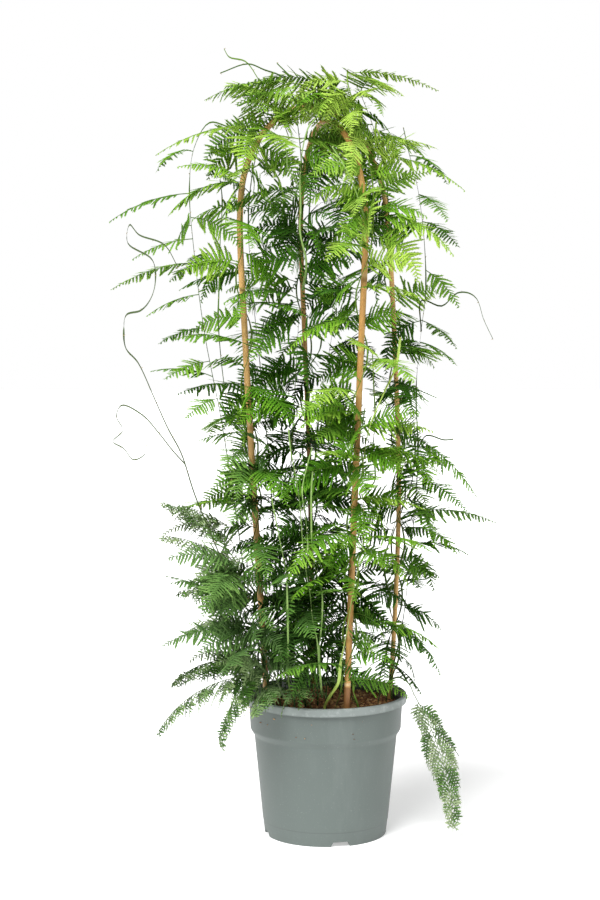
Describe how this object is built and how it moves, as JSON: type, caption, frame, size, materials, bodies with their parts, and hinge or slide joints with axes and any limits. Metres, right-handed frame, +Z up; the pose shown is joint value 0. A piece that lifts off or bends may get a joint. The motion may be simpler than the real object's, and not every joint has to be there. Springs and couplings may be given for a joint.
{
  "type": "potted asparagus fern",
  "caption": "Climbing asparagus fern with flat feathery sprays on crossing bamboo hoops, standing in a round grey plastic nursery pot.",
  "frame": {"origin": "middle of the pot's foot, on the surface that it stands on", "axes": "+Z up along the pot's axis, +X to the right and -Y to the front, as the plant is looked at"},
  "size_m": [0.5659, 0.4131, 1.1499],
  "materials": {
    "pot_plastic": "satin moulded grey plastic, a little dusty",
    "soil": "moist brown coir and peat with pale chips",
    "bamboo": "split bamboo cane, satin, with darker joints",
    "young_shoot": "smooth young shoot with pale scales",
    "bare_shoot": "smooth dark bare shoot",
    "leaf_lime": "soft lime green needles",
    "leaf_bright": "soft bright green needles",
    "leaf_mid": "soft mid green needles",
    "leaf_dark": "soft dark green needles",
    "leaf_grey": "soft grey green needles"
  },
  "bodies": {
    "root": {"pot": "pot_plastic", "soil": "soil", "hoop_left_to_right": "bamboo", "hoop_front_to_back": "bamboo", "shoot_front_young": "young_shoot", "shoot_left_bare": "bare_shoot", "stem_left_cane_low": "leaf_mid", "stem_left_cane_high": "leaf_bright", "stem_left_outer": "leaf_mid", "stem_left_behind": "leaf_dark", "stem_right_cane_low": "leaf_mid", "stem_right_cane_high": "leaf_bright", "stem_right_outer": "leaf_mid", "stem_front_cane_low": "leaf_bright", "stem_front_cane_high": "leaf_lime", "stem_back_cane_low": "leaf_dark", "stem_back_cane_high": "leaf_mid", "stem_middle_left": "leaf_mid", "stem_middle_right": "leaf_dark", "spray_left_over_rim": "leaf_grey", "spray_left_low": "leaf_dark", "spray_left_grey": "leaf_grey", "spray_front_star": "leaf_grey", "spray_front_low_left": "leaf_dark", "spray_front_low_right": "leaf_mid", "spray_right_low": "leaf_dark", "spray_right_over_rim": "leaf_grey"}
  },
  "joints": []
}
